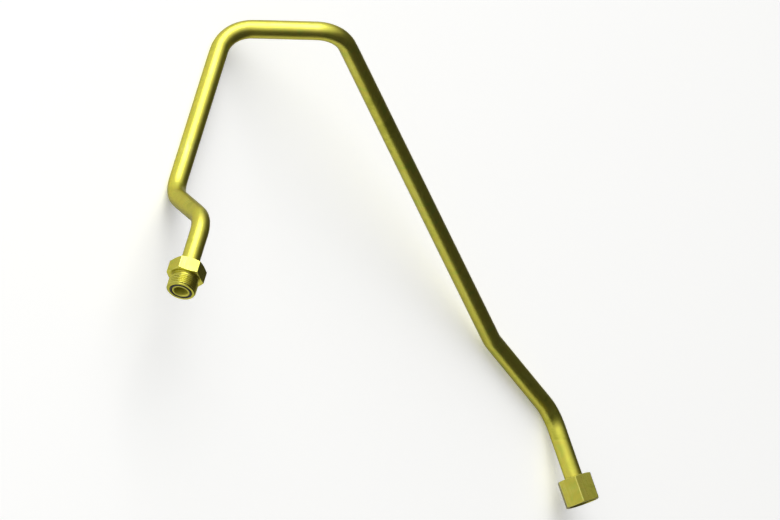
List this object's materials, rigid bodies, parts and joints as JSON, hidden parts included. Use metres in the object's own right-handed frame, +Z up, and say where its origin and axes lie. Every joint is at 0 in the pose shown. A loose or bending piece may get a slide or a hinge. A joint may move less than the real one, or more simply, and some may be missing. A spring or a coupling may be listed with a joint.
{
  "type": "hydraulic tube",
  "caption": "Bent rigid steel hydraulic tube with a brazed male face-seal end, an O-ring in its face, and a captive swivel nut over a brazed sleeve.",
  "frame": {"origin": "on the floor, below the middle of the assembly's bounding box, with the tube lying as it comes to rest", "axes": "+Z up from the floor; +X from the male end towards the swivel nut end, along the longest extent"},
  "size_m": [0.7464, 0.2906, 0.0871],
  "materials": {
    "tube_steel": "yellow passivated zinc plating, satin, drawn tube",
    "fitting_steel": "yellow passivated zinc plating, turned and milled",
    "sleeve_steel": "yellow passivated zinc plating, turned",
    "nut_steel": "yellow passivated zinc plating, turned and milled",
    "nitrile": "moulded black nitrile rubber"
  },
  "bodies": {
    "line": {"bent_tube": "tube_steel", "male_connector": "fitting_steel", "face_seal_ring": "nitrile", "braze_sleeve": "sleeve_steel"},
    "nut": {"swivel_nut": "nut_steel"}
  },
  "joints": [
    {"name": "nut_spin", "type": "hinge", "parent": "line", "child": "nut", "pos_m": [0.35164, -0.11625, 0.02213], "axis": [0.3393, -0.9087, 0.2433], "continuous": true}
  ]
}
